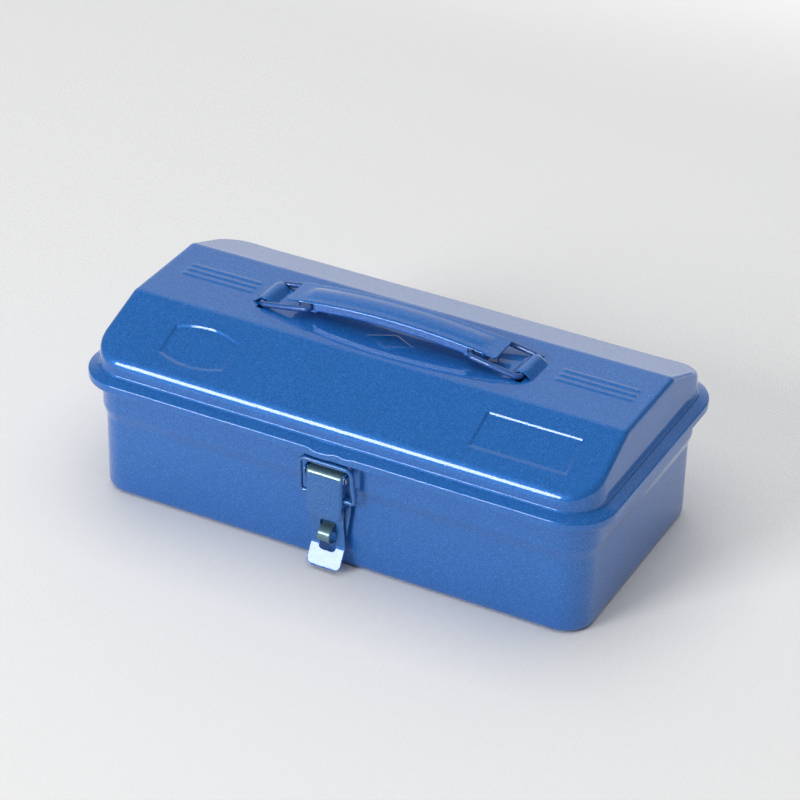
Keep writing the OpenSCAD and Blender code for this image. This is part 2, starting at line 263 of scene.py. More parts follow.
def pressed(name, distance, low, high, step, place, thickness, look, away, rim=0.22):
    """Sheet part: an outline in flat (u, v), meshed as a grid and bent into place.

    look is (body, material) and away is a point behind the sheet's outer face."""
    nu = math.ceil((high[0] - low[0]) / step) + 1
    nv = math.ceil((high[1] - low[1]) / step) + 1
    gu, gv = np.meshgrid(np.linspace(low[0], high[0], nu), np.linspace(low[1], high[1], nv),
                         indexing="ij")
    points = np.column_stack([gu.ravel(), gv.ravel()])
    mid_u = (gu[:-1, :-1] + gu[1:, 1:]) / 2
    mid_v = (gv[:-1, :-1] + gv[1:, 1:]) / 2
    inside = distance(mid_u, mid_v) < 0
    faces = []
    uses = {}
    for i, j in zip(*np.nonzero(inside)):
        a = i * nv + j
        face = (a, a + nv, a + nv + 1, a + 1)
        faces.append(face)
        for p, q in zip(face, face[1:] + face[:1]):
            key = (min(p, q), max(p, q))
            uses[key] = uses.get(key, 0) + 1
    edge = np.array(sorted({p for key, count in uses.items() if count == 1 for p in key}))
    snap_to_outline(points, edge, distance)
    verts = np.column_stack(place(points[:, 0], points[:, 1]))
    obj = add_object(name, verts, faces, look[0], look[1])
    clean_loose(obj)
    face_away(obj, away)
    solidify(obj, thickness)
    bevel(obj, rim, 2, 50)
    return obj


# ---------------------------------------------------------------- plan-shaped shells

def plan_distance(x, y, grow=0.0, shrink_x=0.0):
    """Signed distance to the box's plan outline, grown by an offset."""
    r = CORNER_R + grow
    qx = np.abs(x) - (CORNER_X - shrink_x)
    qy = np.abs(y) - CORNER_Y
    outside = np.hypot(np.maximum(qx, 0), np.maximum(qy, 0))
    inside = np.minimum(np.maximum(qx, qy), 0)
    return outside + inside - r


def solve(inside, low, high, steps=44):
    """Bisects for the last t at which inside(t) holds, elementwise."""
    low, high = np.array(low, float), np.array(high, float)
    for _ in range(steps):
        mid = (low + high) / 2
        ok = inside(mid)
        low = np.where(ok, mid, low)
        high = np.where(ok, high, mid)
    return low


class Columns:
    """Anchors and outward directions round a rectangular grid, with fans at its corners."""

    def __init__(self, xs, ys, fan):
        self.xs, self.ys = xs, ys
        nx, ny = len(xs), len(ys)
        anchors, dirs, grid = [], [], []

        def index(i, j):
            return i * ny + j

        def side(cells, direction):
            for i, j in cells:
                anchors.append((xs[i], ys[j]))
                dirs.append(direction)
                grid.append(index(i, j))

        def corner(i, j, start):
            for k in range(1, fan):
                a = math.radians(start + 90 * k / fan)
                anchors.append((xs[i], ys[j]))
                dirs.append((math.cos(a), math.sin(a)))
                grid.append(index(i, j))

        side([(i, 0) for i in range(nx)], (0, -1))
        corner(nx - 1, 0, -90)
        side([(nx - 1, j) for j in range(ny)], (1, 0))
        corner(nx - 1, ny - 1, 0)
        side([(i, ny - 1) for i in range(nx - 1, -1, -1)], (0, 1))
        corner(0, ny - 1, 90)
        side([(0, j) for j in range(ny - 1, -1, -1)], (-1, 0))
        corner(0, 0, 180)
        self.anchors = np.array(anchors, float)
        self.dirs = np.array(dirs, float)
        self.grid = np.array(grid)
        self.count = len(grid)

    def ring(self, offset, z):
        """Points of every column on the plan outline grown by an offset, at a height."""
        a, d = self.anchors, self.dirs

        def within(t):
            return plan_distance(a[:, 0] + d[:, 0] * t, a[:, 1] + d[:, 1] * t, offset) < 0

        t = solve(within, np.zeros(self.count), np.full(self.count, PLAN_REACH))
        return np.column_stack([a[:, 0] + d[:, 0] * t, a[:, 1] + d[:, 1] * t,
                                np.full(self.count, float(z))])

    def grid_points(self, height):
        """Points of the inner grid at height(x, y)."""
        gx, gy = np.meshgrid(self.xs, self.ys, indexing="ij")
        x, y = gx.ravel(), gy.ravel()
        return np.column_stack([x, y, height(x, y)])

    def grid_faces(self, base, keep=None):
        """Quads of the inner grid, without the cells where keep(x, y) is false."""
        ny = len(self.ys)
        faces = []
        for i in range(len(self.xs) - 1):
            for j in range(ny - 1):
                x = (self.xs[i] + self.xs[i + 1]) / 2
                y = (self.ys[j] + self.ys[j + 1]) / 2
                if keep and not keep(x, y):
                    continue
                a = base + i * ny + j
                faces.append((a, a + ny, a + ny + 1, a + 1))
        return faces


def join_rows(rows):
    """Quads between closed rows of vertex numbers; repeated numbers give triangles."""
    faces = []
    for low, high in zip(rows, rows[1:]):
        n = len(low)
        for k in range(n):
            m = (k + 1) % n
            quad = [low[k], low[m], high[m], high[k]]
            ring = [v for v, w in zip(quad, quad[1:] + quad[:1]) if v != w]
            if len(set(ring)) >= 3:
                faces.append(tuple(ring))
    return faces


# ---------------------------------------------------------------- lid surface

def round_max(a, b, r):
    """Largest of two distances, rounded off near the edge where they meet."""
    both = np.hypot(np.maximum(a + r, 0), np.maximum(b + r, 0)) - r
    return np.where((a > -r) & (b > -r), both, np.maximum(a, b))


def lid_top_distance(y, z):
    """Signed distance to the flat top and the two pitched panels."""
    slope = (np.abs(y) - FLAT_HALF) * math.sin(PITCH) + (z - LID_TOP_Z) * math.cos(PITCH)
    return round_max(z - LID_TOP_Z, slope, RIDGE_SOFT)


def lid_distance(x, y, z):
    """Signed distance to the lid above its ledge, without the pressed marks."""
    shrink = END_DRAFT * np.maximum(z - EAVE_Z, 0)
    plan = plan_distance(x, y, WALL_O, shrink)
    end = np.clip((np.abs(x) - EAVE_END_X) / EAVE_END_RUN, 0, 1)
    radius = EAVE_R_LONG + (EAVE_R_END - EAVE_R_LONG) * end
    return round_max(plan, lid_top_distance(y, z), radius)


def resample(points, count, bend_weight):
    """Evenly spaced points of a polyline, packed closer where it bends."""
    step = np.diff(points, axis=0)
    length = np.linalg.norm(step, axis=1)
    unit = step / np.maximum(length, 1e-9)[:, None]
    turn = np.zeros(len(length))
    turn[1:] = np.arccos(np.clip((unit[1:] * unit[:-1]).sum(1), -1, 1))
    measure = np.concatenate([[0], np.cumsum(length + bend_weight * turn)])
    wanted = np.linspace(0, measure[-1], count)
    return np.column_stack([np.interp(wanted, measure, points[:, k]) for k in range(3)])


def lid_fan(columns, rows):
    """Rows of points from the lid's wall up to the vertical over each anchor."""
    dense = 160
    phi = np.radians(np.linspace(0, 90, dense))
    a, d = columns.anchors, columns.dirs
    c, s = np.cos(phi)[None, :], np.sin(phi)[None, :]

    def place(t):
        return (a[:, 0:1] + d[:, 0:1] * t * c, a[:, 1:2] + d[:, 1:2] * t * c, EAVE_Z + t * s)

    t = solve(lambda t: lid_distance(*place(t)) < 0,
              np.zeros((columns.count, dense)), np.full((columns.count, dense), PLAN_REACH))
    points = np.stack(place(t), axis=-1)
    return np.stack([resample(points[k], rows, 9.0) for k in range(columns.count)], axis=1)


# Marks raised in the lid; u runs along the box, v across it or up the slope

def plateau(distance, height, edge):
    """Raised area inside an outline, with a soft edge of the given width."""
    t = np.clip(0.5 - distance / edge, 0, 1)
    return height * t * t * (3 - 2 * t)


def stroke(distance, height, width):
    """Raised line along an outline."""
    t = np.clip(1 - np.abs(distance) / (width / 2), 0, 1)
    return height * t * t * (3 - 2 * t)


PANEL_DEPTH = 1.0
PANEL_EDGE_TOP, PANEL_EDGE_LOW = 1.5, 2.6
PANEL_SOFT_FROM, PANEL_SOFT_RUN = 15.0, 14.0    # down the slope, where the edge widens
PLATE_CORNER_R = 1.0
PLATE_AT, PLATE_HALF = (92.0, 21.8), (24.7, 10.3)
BARREL_AT, BARREL_HALF, BARREL_SPAN = (-84.0, 22.9), (17.5, 12.2), 80.0
RIB_H = 0.5
RIB_HALF = (20.0, 1.1)
RIB_CORNER_R, RIB_EDGE = 1.0, 0.9
RIB_PITCH = 4.6
RIBS_Y = 3.0
RIBS_X = (-101.0, 105.0)
DIAMOND_AT, DIAMOND_HALF = (1.0, -10.5), (12.0, 6.0)
DIAMOND_H, DIAMOND_LINE, DIAMOND_MM = 0.45, 1.5, 5.0    # DIAMOND_MM turns its level into a length


def rib_set(x, y, middle_x):
    """Three plain parallel ribs."""
    total = np.zeros_like(x)
    for k in (-1, 0, 1):
        edge = rounded_box(x, y, (middle_x, RIBS_Y + k * RIB_PITCH), RIB_HALF, RIB_CORNER_R)
        total = np.maximum(total, plateau(edge, RIB_H, RIB_EDGE))
    return total


def lid_marks(x, y):
    """Height of the ribs and depth of the sunk panels over the lid's flat and front slope."""
    down = (-y - FLAT_HALF) / math.cos(PITCH)
    across = x - BARREL_AT[0]
    arch = np.abs(down - BARREL_AT[1]) - BARREL_HALF[1] + across ** 2 / BARREL_SPAN
    barrel = np.maximum(arch, np.abs(across) - BARREL_HALF[0])
    plate = rounded_box(x, down, PLATE_AT, PLATE_HALF, PLATE_CORNER_R)
    soft = np.clip((down - PANEL_SOFT_FROM) / PANEL_SOFT_RUN, 0, 1)
    edge = PANEL_EDGE_TOP + (PANEL_EDGE_LOW - PANEL_EDGE_TOP) * soft
    sunk = plateau(np.minimum(barrel, plate), PANEL_DEPTH, edge)
    total = np.maximum(rib_set(x, y, RIBS_X[0]), rib_set(x, y, RIBS_X[1]))
    diamond = (np.abs(x - DIAMOND_AT[0]) / DIAMOND_HALF[0]
               + np.abs(y - DIAMOND_AT[1]) / DIAMOND_HALF[1] - 1) * DIAMOND_MM
    return np.maximum(total, stroke(diamond, DIAMOND_H, DIAMOND_LINE)) - sunk


WOBBLE_BROAD, WOBBLE_FINE = 0.055, 0.035


def sheet_wobble(x, y, z):
    """Slight unevenness of pressed sheet."""
    return (WOBBLE_BROAD * np.sin(x / 23.0 + 0.7) * np.sin(y / 17.0 + z / 29.0 + 1.3)
            + WOBBLE_FINE * np.sin(x / 11.0 + z / 13.0 + 2.1) * np.sin(y / 9.0 + 0.4))


def skirt_dent(x):
    """How far the skirt is pushed out over the latch, where its hook is pressed in."""
    left = np.exp(-((x + 1.5) / 5.5) ** 4)
    right = 0.55 * np.exp(-((x - 11.5) / 3.0) ** 4)
    return left + right


DENT_OUT, DENT_DOWN = 0.55, 1.0

WIRE_X = 70.5                         # axes of the handle wires' hinges
WIRE_HALF = 12.9
WIRE_SLOT = 1.6
BRIDGE_HALF = 9.0
BRIDGE_CROWN, BRIDGE_REACH, BRIDGE_ROOT = 4.7, 8.5, 0.8
BRIDGE_SAG = 0.35
BRIDGE_SHEET = SHEET * 0.8
GRID_X, GRID_Y = 127.0, 61.5
FINE, FINER = 0.7, 0.35


def lid_step_x(x):
    """Grid spacing along the lid: finest at the sides of the sunk panels."""
    panel_sides = [BARREL_AT[0] - BARREL_HALF[0], BARREL_AT[0] + BARREL_HALF[0],
                   PLATE_AT[0] - PLATE_HALF[0], PLATE_AT[0] + PLATE_HALF[0]]
    if min(abs(x - side) for side in panel_sides) < 1.5:
        return FINER
    if abs(x) > 64 or abs(x) < 16.5:
        return FINE
    return 3.0


def lid_step_y(y):
    """Grid spacing across the lid: finest at the ridges and the panels' long edges."""
    if abs(abs(y) - FLAT_HALF) < 2.0:
        return 0.4
    if -42 < y < -35 or -61.5 < y < -54:
        return FINER
    if -54 < y < -42 or -22 < y < 12:
        return FINE
    return 3.0


def make_lid(material):
    slot_x = [s * (WIRE_X + k * WIRE_SLOT) for s in (-1, 1) for k in (-1, 1)]
    marks_x = [-GRID_X, -103, -100, -68, -65, -16.5, 16.5, 65, 69, 115, 118.2, GRID_X]
    marks_y = [-GRID_Y, -54, -42, -35, -29, -25, -22, -WIRE_HALF, 12, WIRE_HALF, 25, 29, 45, GRID_Y]
    xs = lines(marks_x + slot_x, lid_step_x)
    ys = lines(marks_y, lid_step_y)
    columns = Columns(xs, ys, 18)

    def height(x, y):
        return solve(lambda z: lid_distance(x, y, z) < 0,
                     np.full(x.shape, LID_SEARCH_Z[0]), np.full(x.shape, LID_SEARCH_Z[1]))

    top = columns.grid_points(height)
    profile = rounded_path(
        [(SKIRT_O - 0.2, SKIRT_Z), (SKIRT_O, SKIRT_Z + 0.4), (SKIRT_O, 68.2), (3.4, 70.25),
         (WALL_O + 0.15, 71.2), (WALL_O, EAVE_Z)],
        [0.3, 1.1, 0.9, 0.9], 5)
    rings = [columns.ring(o, z) for o, z in profile[:-1]]
    fan = list(lid_fan(columns, 26))
    verts = [top]
    rows = []
    base = len(top)
    for ring in rings + fan[:-1]:
        verts.append(ring)
        rows.append(np.arange(base, base + columns.count))
        base += columns.count
    rows.append(columns.grid)
    verts = np.vstack(verts)
    upper = verts[:, 2] > EAVE_Z + 3
    lift = lid_marks(verts[:, 0], verts[:, 1]) * upper
    lean = np.where(np.abs(verts[:, 1]) > FLAT_HALF, 1.0, 0.0)
    verts[:, 2] += lift * np.where(lean > 0, math.cos(PITCH), 1.0)
    verts[:, 1] += lift * lean * math.sin(PITCH) * np.sign(verts[:, 1])
    verts[:, 2] += sheet_wobble(*verts.T) * (verts[:, 2] > SKIRT_Z + 3)
    dented = (verts[:, 1] < -CORNER_Y) & (verts[:, 2] < 70.5)
    push = skirt_dent(verts[:, 0]) * np.clip((verts[:, 1] + HALF_Y + 2.5) / -4.0, 0, 1) * dented
    verts[:, 1] -= DENT_OUT * push
    verts[:, 2] -= DENT_DOWN * push * (verts[:, 2] > SKIRT_Z + 1.5)

    def metal(x, y):
        return not (abs(abs(x) - WIRE_X) < WIRE_SLOT and abs(y) < WIRE_HALF)

    faces = columns.grid_faces(0, metal) + join_rows(rows)
    lid = add_object("lid_sheet", verts, faces, "lid", material)
    clean_loose(lid)
    face_away(lid, (0, 0, 60))
    solidify(lid, SHEET)
    return lid


def make_bridges(material):
    """Arches pressed up from the lid over the crossbars of the handle wires."""
    made = []
    for name, sx in (("left", -1), ("right", 1)):
        us = np.linspace(-BRIDGE_REACH, BRIDGE_REACH, 61)
        vs = lines([-BRIDGE_HALF, BRIDGE_HALF], lambda v: 1.0)

        def point(u, v):
            rise = BRIDGE_CROWN * math.cos(u / BRIDGE_REACH * math.pi / 2) ** 2
            sag = BRIDGE_SAG * (abs(v) / BRIDGE_HALF) ** 4 * rise / BRIDGE_CROWN
            return (sx * (WIRE_X + u), v, LID_TOP_Z + rise - sag - BRIDGE_ROOT)

        arch = sheet_grid("lid_bridge_" + name, us, vs, point, "lid", material)
        face_away(arch, (sx * WIRE_X, 0, 60))
        solidify(arch, BRIDGE_SHEET)
        made.append(arch)
    return made


# ---------------------------------------------------------------- tub

def make_tub(material):
    """One closed shell: floor, wall, shoulder and rim outside, then the same inside."""
    xs = lines([-CORNER_X, CORNER_X], lambda x: 5.0)
    ys = lines([-CORNER_Y, CORNER_Y], lambda y: 5.0)
    columns = Columns(xs, ys, 14)
    t = SHEET
    step = SHOULDER_STEP
    bead_r = 1.3
    outer = rounded_path(
        [(-9.0, 0.0), (0.0, 0.0), (0.0, SHOULDER_Z - 6.0), (step, SHOULDER_Z),
         (step, RIM_Z - t), (5.0, RIM_Z - t)],
        [4.6, 4.0, 4.0, 2.0], 7)
    curl = [(5.3 + bead_r * math.cos(a), RIM_Z - bead_r + bead_r * math.sin(a))
            for a in np.radians(np.linspace(160, 450, 18))]
    inner = rounded_path(
        [(5.0, RIM_Z), (step - t, RIM_Z), (step - t, SHOULDER_Z + 0.1),
         (-t, SHOULDER_Z - 5.9), (-t, t), (-9.0, t)],
        [2.8, 4.0, 4.0, 3.8], 7)
    low = columns.grid_points(lambda x, y: np.zeros_like(x))
    high = columns.grid_points(lambda x, y: np.full_like(x, t))
    n = len(low)
    verts = [low, high]
    rows = [columns.grid]
    base = 2 * n
    for o, z in list(outer) + curl + list(inner):
        ring = columns.ring(o, z)
        verts.append(ring)
        rows.append(np.arange(base, base + columns.count))
        base += columns.count
    rows.append(columns.grid + n)
    verts = np.vstack(verts)
    middle = np.clip((verts[:, 2] - 4) / 6, 0, 1) * np.clip((60 - verts[:, 2]) / 8, 0, 1)
    bulge = sheet_wobble(verts[:, 0], verts[:, 1], verts[:, 2]) * 2.2 * middle
    front = (np.abs(verts[:, 1]) > CORNER_Y) & (np.abs(verts[:, 0]) < CORNER_X)
    verts[:, 1] += np.where(front, bulge * np.sign(verts[:, 1]), 0)
    faces = columns.grid_faces(0) + columns.grid_faces(n) + join_rows(rows)
    return add_object("tub_sheet", verts, faces, "box", material)


# ---------------------------------------------------------------- handle

GRIP_HIGH = box_mm("handle_grip")[1]
GRIP_HALF_X, GRIP_HALF_Y = GRIP_HIGH[0], GRIP_HIGH[1]
GRIP_T = 0.9
GRIP_ARCH_R = 360.0
GRIP_CROWN_Z = 106.8
GRIP_ARCH_X = 46.0                    # the arch runs straight beyond this
GRIP_BEND = 1.2
FLANGE_END_X, FLANGE_END_RUN = 48.5, 3.0
RIDGE_H = 1.1
RIDGE_HALF = 6.0
RIDGE_END_X, RIDGE_END_RUN = 52.0, 7.0
FLANGE_H = 4.6
WIRE_R = 1.5
WIRE_Z = 96.6
WIRE_BEND = 2.4
ARM_LEN = 27.0
ARM_Y = 11.5
ARM_RISE = 4.3                        # from the bridges up to the grip's windows
ARM_TILT = math.asin(ARM_RISE / ARM_LEN)
TIP_Y = 7.4
HOOK_X = WIRE_X - ARM_LEN * math.cos(ARM_TILT)
WINDOW_X = (HOOK_X - 1.8, HOOK_X + 5.6)


def grip_top(x):
    """Height of the grip's arch, which straightens towards the tips."""
    bend = np.minimum(np.abs(x), GRIP_ARCH_X)
    rest = np.abs(x) - bend
    return GRIP_CROWN_Z - bend ** 2 / (2 * GRIP_ARCH_R) - rest * GRIP_ARCH_X / GRIP_ARCH_R


def grip_place(x, s):
    """Bends the flat blank of the grip: x along it, s across it from edge to edge."""
    flat = GRIP_HALF_Y - GRIP_BEND
    turn = GRIP_BEND * math.pi / 2
    q = np.abs(s)
    angle = np.clip((q - flat) / GRIP_BEND, 0, math.pi / 2)
    y = np.minimum(q, flat) + GRIP_BEND * np.sin(angle)
    drop = GRIP_BEND * (1 - np.cos(angle)) + np.maximum(q - flat - turn, 0)
    ends = np.clip((np.abs(x) - FLANGE_END_X) / FLANGE_END_RUN, 0, 1)
    y = y * (1 - ends) + np.minimum(q * GRIP_HALF_Y / flat, GRIP_HALF_Y) * ends
    drop = drop * (1 - ends)
    fade = np.clip((RIDGE_END_X - np.abs(x)) / RIDGE_END_RUN, 0, 1)
    dome = np.clip(1 - (s / RIDGE_HALF) ** 2, 0, 1)
    lift = RIDGE_H * dome ** 1.3 * fade * fade * (3 - 2 * fade)
    return x, np.sign(s) * y, grip_top(x) + lift - drop


def grip_blank(x, s):
    """Outline of the grip's flat blank: the strap, its flanges and the wire windows."""
    flat = GRIP_HALF_Y - GRIP_BEND
    full = flat + GRIP_BEND * math.pi / 2 + FLANGE_H - GRIP_BEND
    q = np.abs(s)
    strap = rounded_box(x, s, (0, 0), (GRIP_HALF_X, flat), 0.8)
    flange = rounded_box(x, q, (0, full - 5.0), (WINDOW_X[0] - 0.7, 5.0), 1.0)
    lip_low = full + 0.9
    frame_x = (WINDOW_X[0] + WINDOW_X[1]) / 2
    frame_w = (WINDOW_X[1] - WINDOW_X[0]) / 2
    lug = rounded_box(np.abs(x), q, (frame_x - 0.6, lip_low - 5.0), (frame_w + 1.6, 5.0), 1.0)
    window = rounded_box(np.abs(x), q, (frame_x, lip_low - 2.9), (frame_w, 2.0), 0.9)
    return np.minimum(np.minimum(strap, flange), np.maximum(lug, -window))


def make_handle():
    """Strap with wire windows at both ends, and the two wires that carry it."""
    grip = pressed("handle_strap", grip_blank, (-GRIP_HALF_X - 0.3, -17), (GRIP_HALF_X + 0.3, 17),
                   0.6, grip_place, GRIP_T, ("grip", body_paint), (0, 0, 60), 0.25)
    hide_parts("handle_grip")
    for name, side in (("left", -1), ("right", 1)):
        flat = [(ARM_LEN, TIP_Y), (ARM_LEN, ARM_Y), (0, ARM_Y), (0, -ARM_Y), (ARM_LEN, -ARM_Y),
                (ARM_LEN, -TIP_Y)]
        path = rounded_path(flat, [WIRE_BEND] * 4, 8)
        along = path[:, 0]
        world = np.column_stack([side * (WIRE_X - along * math.cos(ARM_TILT)), path[:, 1],
                                 WIRE_Z + along * math.sin(ARM_TILT)])
        wire = tube("handle_bail_" + name, world, WIRE_R, "wire_" + name, wire_paint)
        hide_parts("handle_wire_" + name)


# ---------------------------------------------------------------- latch

PLATE_Y = -69.25
LEVER_LOW, LEVER_HIGH = box_mm("latch_lever")
LEVER_HALF = LEVER_HIGH[0]
LEVER_Y = LEVER_LOW[1]
LEVER_T = 0.9
LEVER_GAP = 0.25                      # between the lever and the ears beside it
EAR_T = 0.9
EAR_R = 2.6
EAR_OUT = LEVER_HALF + LEVER_GAP + EAR_T    # outer face of the ears that hold the pin
PIN_Y, PIN_Z = joint_yz("lever_hinge")
PIN_R = 1.3
ROLL_R, ROLL_T = 4.4, 0.7
ROLL_Y, ROLL_Z = LEVER_Y + ROLL_R, 52.3
FACE_TOP = 53.9
LEVER_BEND = 2.0
LEVER_DOME = 0.25
LATCH_PLAY = 0.8                      # the tab, the bail and the eye sit a little off centre
BAIL_R = 1.2
BAIL_BAR = (-74.4, 61.4)
BAIL_PIVOT = joint_yz("draw_wire_hinge")
BAIL_HOLE_R = BAIL_R + 0.3
EYE_Y, EYE_Z, EYE_R, EYE_T, EYE_HALF = -73.4, 20.0, 2.2, 0.7, 3.3
EYE_ARC_Z, EYE_BEND_Z, EYE_FOOT_Z = 4.9, 5.1, 5.4    # half heights of its arc, bends and feet
TAB_Y = PLATE_Y - 1.6


def make_base_plate():
    """Plate on the tub's front with a window behind the lever, and its two ears."""
    def outline(x, z):
        body = rounded_box(x, z, (0, 41.5), (12.0, 21.5), 2.0)
        taper = (np.abs(x) - 10.0) * 0.99 - (z - 20.0) * 0.14
        window = rounded_box(x, z, (0, 54.5), (LEVER_HALF + LEVER_GAP, 5.0), 0.8)
        return np.maximum(np.maximum(body, taper), -window)

    plate = pressed("latch_plate", outline, (-12.3, 19.7), (12.3, 63.3), 0.6,
                    lambda x, z: (x, np.full_like(x, PLATE_Y), z), 0.85,
                    ("box", latch_paint), (0, 0, 40))
    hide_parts("latch_base_plate")
    for name, sx in (("left", -1), ("right", 1)):
        def ear(y, z):
            disc = np.hypot(y - PIN_Y, z - PIN_Z) - EAR_R
            arm = rounded_box(y, z, (-70.7, PIN_Z), (1.6, 3.0), 0.5)
            hole = np.hypot(y - PIN_Y, z - PIN_Z) - PIN_R
            return np.maximum(np.minimum(disc, arm), -hole)

        lug = pressed("latch_ear_" + name, ear, (-75.0, 49.0), (-69.0, 59.0), 0.3,
                      lambda y, z: (np.full_like(y, sx * EAR_OUT), y, z), EAR_T,
                      ("box", latch_paint), (0, PIN_Y, PIN_Z), 0.15)


def lever_place(s, z):
    """Bends the lever's blank round its two long edges, with a slightly domed face."""
    flat = LEVER_HALF - LEVER_BEND
    turn = LEVER_BEND * math.pi / 2
    q = np.abs(s)
    angle = np.clip((q - flat) / LEVER_BEND, 0, math.pi / 2)
    x = np.minimum(q, flat) + LEVER_BEND * np.sin(angle)
    back = LEVER_BEND * (1 - np.cos(angle)) + np.maximum(q - flat - turn, 0)
    lip = np.clip((LEVER_LOW[2] + 3.2 - z) / 3.2, 0, 1) ** 2
    face = np.clip(1 - (q / flat) ** 2, 0, 1)
    rib = plateau(rounded_box(s, z, (-1.8, 48.6), (3.6, 0.6), 0.5), 0.3, 0.8)
    crease = stroke(rounded_box(s, z, (4.6, 42.5), (0.1, 3.6)), 0.3, 1.0)
    lift = LEVER_DOME * face + rib - crease
    return np.sign(s) * x, LEVER_Y + LEVER_DOME + back - lift + 0.6 * lip, z


def lever_blank(s, z):
    """Outline of the lever's blank: its face, and wings with the holes for the latch wire."""
    face = rounded_box(s, z, (0, 46.0), (LEVER_HALF, 15.9), 6.0)
    q = np.abs(s)
    wing = rounded_box(q, z, (LEVER_HALF + 0.9, 47.5), (4.2, 9.5), 0.8)
    slant = (q - LEVER_HALF + 0.1) * 0.35 - (z - 36.0) * 0.94
    wing_foot = LEVER_HALF + LEVER_BEND * (math.pi / 2 - 1)
    hole_q = wing_foot + BAIL_PIVOT[0] - (LEVER_Y + LEVER_DOME + LEVER_BEND)
    hole = np.hypot(q - hole_q, z - BAIL_PIVOT[1]) - BAIL_HOLE_R
    top = z - FACE_TOP - np.clip((q - LEVER_HALF) * 1.6, 0, 2.2)
    shape = np.minimum(face, np.maximum(np.maximum(wing, slant), -hole))
    return np.maximum(shape, top)


def make_lever():
    """Lever face with its wings, and the roll round the pin above it."""
    lever = pressed("lever_face", lever_blank, (-15.6, 29.6), (15.6, 57.4), 0.4, lever_place,
                    LEVER_T, ("lever", latch_paint), (0, -60, 45))
    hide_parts("latch_lever")
    angles = np.radians(np.linspace(168, 75, 26))
    us = lines([-LEVER_HALF + 0.3, LEVER_HALF - 0.3], lambda u: 1.0)

    def point(u, a):
        end = max(0.0, abs(u) - LEVER_HALF + 1.4) / 1.4
        r = ROLL_R - 0.1 - 0.25 * end * end
        return (u, ROLL_Y + r * math.cos(a), ROLL_Z + r * math.sin(a))

    roll = sheet_grid("lever_roll", us, angles, point, "lever", teal_lacquer)
    face_away(roll, (0, ROLL_Y, ROLL_Z))
    solidify(roll, ROLL_T)
    bevel(roll, 0.2, 2, 50)


def make_latch_pin():
    """Pin with one turned head on the right and a flush left end."""
    head_x = EAR_OUT + 0.1
    profile = [(-EAR_OUT, 0.9), (-EAR_OUT + 0.2, PIN_R), (head_x, PIN_R), (head_x, 1.7),
               (head_x + 0.25, 1.9), (head_x + 0.6, 1.7), (head_x + 0.8, 1.2)]
    sides = 28
    verts = [(x, PIN_Y + r * math.cos(a), PIN_Z + r * math.sin(a)) for x, r in profile
             for a in np.linspace(0, 2 * math.pi, sides, endpoint=False)]
    rows = [np.arange(k * sides, (k + 1) * sides) for k in range(len(profile))]
    faces = join_rows(rows) + [tuple(rows[0]), tuple(reversed(rows[-1]))]
    pin = add_object("pin_with_head", verts, faces, "box", pin_steel, smooth=False)
    bevel(pin, 0.12, 2, 35)
    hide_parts("latch_pin")


def make_latch_wire():
    """Bail from one hole in the lever, across in front of the catch, to the other hole."""
    y0, z0 = BAIL_PIVOT
    y1, z1 = BAIL_BAR
    tip = LEVER_HALF - 1.7
    top, foot = 13.8, 14.6
    corners = [(tip, y0, z0), (foot + LATCH_PLAY, y0, z0), (top + LATCH_PLAY, y1, z1),
               (LATCH_PLAY - top, y1, z1), (LATCH_PLAY - foot, y0, z0), (-tip, y0, z0)]
    path = rounded_path(corners, [1.7, 3.0, 3.0, 1.7], 10)
    wire = tube("latch_bail", path, BAIL_R, "draw_wire", latch_paint)
    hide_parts("latch_wire")


def make_tab():
    """Slotted tab under the lever, kicked out at its foot."""
    top_z, bend_z, foot_y, foot_z = 38.0, 13.4, LEVER_Y - 1.8, 3.1
    slope = (TAB_Y - foot_y) / (bend_z - foot_z)

    def outline(x, z):
        half = 8.2 + np.clip((26.0 - z) / 11.0, 0, 1) * 1.0
        foot = rounded_box(x, z, (0, foot_z + 20), (9.2, 20), 3.0)
        side = np.abs(x) - half
        slot = rounded_box(x, z, (0, 18.75), (4.4, 8.25), 1.8)
        return np.maximum(np.maximum(np.maximum(foot, side), z - top_z), -slot)

    def place(x, z):
        out = np.logaddexp(0, (bend_z - z) * 3.0) / 3.0 * slope
        return x + LATCH_PLAY, TAB_Y - out, z

    tab = pressed("finger_tab", outline, (-9.5, 1.7), (9.5, 38.3), 0.4, place, 0.9,
                  ("lever", latch_paint), (0, 0, 20))
    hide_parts("latch_tab")


def make_eye():
    """Strap bent into a half ring between two flat feet."""
    outer = EYE_R + EYE_T
    path = [(PLATE_Y - 0.5, EYE_Z + EYE_FOOT_Z), (PLATE_Y - 0.9, EYE_Z + EYE_BEND_Z)]
    path += [(PLATE_Y - 0.5 + (EYE_Y - outer - PLATE_Y + 0.5) * math.sin(a),
              EYE_Z + EYE_ARC_Z * math.cos(a)) for a in np.radians(np.linspace(8, 172, 33))]
    path += [(PLATE_Y - 0.9, EYE_Z - EYE_BEND_Z), (PLATE_Y - 0.5, EYE_Z - EYE_FOOT_Z)]
    us = np.linspace(-EYE_HALF, EYE_HALF, 9)
    strap = sheet_grid("eye_strap", us, range(len(path)),
                       lambda u, k: (u + LATCH_PLAY, *path[int(k)]), "box", teal_lacquer)
    face_away(strap, (0, EYE_Y + 1, EYE_Z))
    solidify(strap, EYE_T)
    bevel(strap, 0.25, 3, 50)
    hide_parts("padlock_eye")


